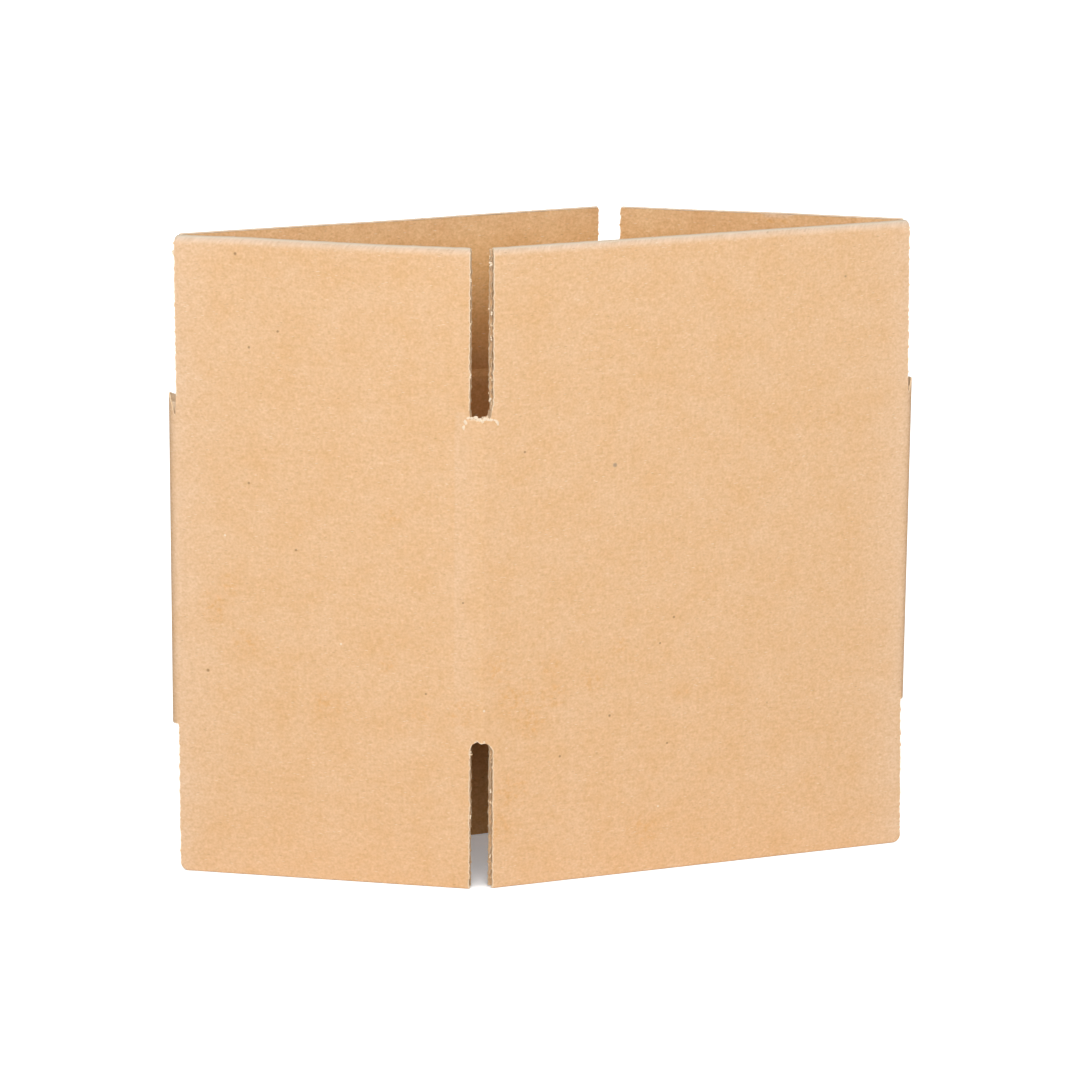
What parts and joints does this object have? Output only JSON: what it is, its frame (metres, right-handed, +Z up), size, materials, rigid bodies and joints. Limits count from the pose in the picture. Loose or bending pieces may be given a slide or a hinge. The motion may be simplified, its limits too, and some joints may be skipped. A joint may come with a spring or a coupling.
{
  "type": "open cardboard box",
  "caption": "Corrugated shipping carton, glued into a slanted open tube, with flaps straight up at the top and straight down below.",
  "frame": {"origin": "middle of the carton's outer box, on the surface it stands on", "axes": "+X along the two long panels, +Y from the front fold to the back of the carton, +Z up through the open tube"},
  "size_m": [0.2462, 0.058, 0.22],
  "materials": {
    "kraft_board": "matte brown kraft paper"
  },
  "bodies": {
    "carton": {"carton_body": "kraft_board"},
    "top_flap_front_right": {"top_flap_front_right": "kraft_board"},
    "top_flap_back_right": {"top_flap_back_right": "kraft_board"},
    "top_flap_back_left": {"top_flap_back_left": "kraft_board"},
    "top_flap_front_left": {"top_flap_front_left": "kraft_board"},
    "bottom_flap_front_right": {"bottom_flap_front_right": "kraft_board"},
    "bottom_flap_back_right": {"bottom_flap_back_right": "kraft_board"},
    "bottom_flap_back_left": {"bottom_flap_back_left": "kraft_board"},
    "bottom_flap_front_left": {"bottom_flap_front_left": "kraft_board"}
  },
  "joints": [
    {"name": "top_flap_front_right_crease", "type": "hinge", "parent": "carton", "child": "top_flap_front_right", "pos_m": [0.04425, -0.02895, 0.1655], "axis": [1, 0, 0], "range_deg": [0, 175]},
    {"name": "top_flap_back_right_crease", "type": "hinge", "parent": "carton", "child": "top_flap_back_right", "pos_m": [0.0784, 0.00219, 0.1655], "axis": [-0.866, 0.5, 0], "range_deg": [0, 175]},
    {"name": "top_flap_back_left_crease", "type": "hinge", "parent": "carton", "child": "top_flap_back_left", "pos_m": [-0.04425, 0.02895, 0.1655], "axis": [-1, 0, 0], "range_deg": [0, 175]},
    {"name": "top_flap_front_left_crease", "type": "hinge", "parent": "carton", "child": "top_flap_front_left", "pos_m": [-0.0771, -0.00294, 0.1655], "axis": [0.866, -0.5, 0], "range_deg": [0, 175]},
    {"name": "bottom_flap_front_right_crease", "type": "hinge", "parent": "carton", "child": "bottom_flap_front_right", "pos_m": [0.04425, -0.02895, 0.0515], "axis": [-1, 0, 0], "range_deg": [0, 175]},
    {"name": "bottom_flap_back_right_crease", "type": "hinge", "parent": "carton", "child": "bottom_flap_back_right", "pos_m": [0.0784, 0.00219, 0.0515], "axis": [0.866, -0.5, 0], "range_deg": [0, 175]},
    {"name": "bottom_flap_back_left_crease", "type": "hinge", "parent": "carton", "child": "bottom_flap_back_left", "pos_m": [-0.04425, 0.02895, 0.0515], "axis": [1, 0, 0], "range_deg": [0, 175]},
    {"name": "bottom_flap_front_left_crease", "type": "hinge", "parent": "carton", "child": "bottom_flap_front_left", "pos_m": [-0.0771, -0.00294, 0.0515], "axis": [-0.866, 0.5, 0], "range_deg": [0, 175]}
  ]
}
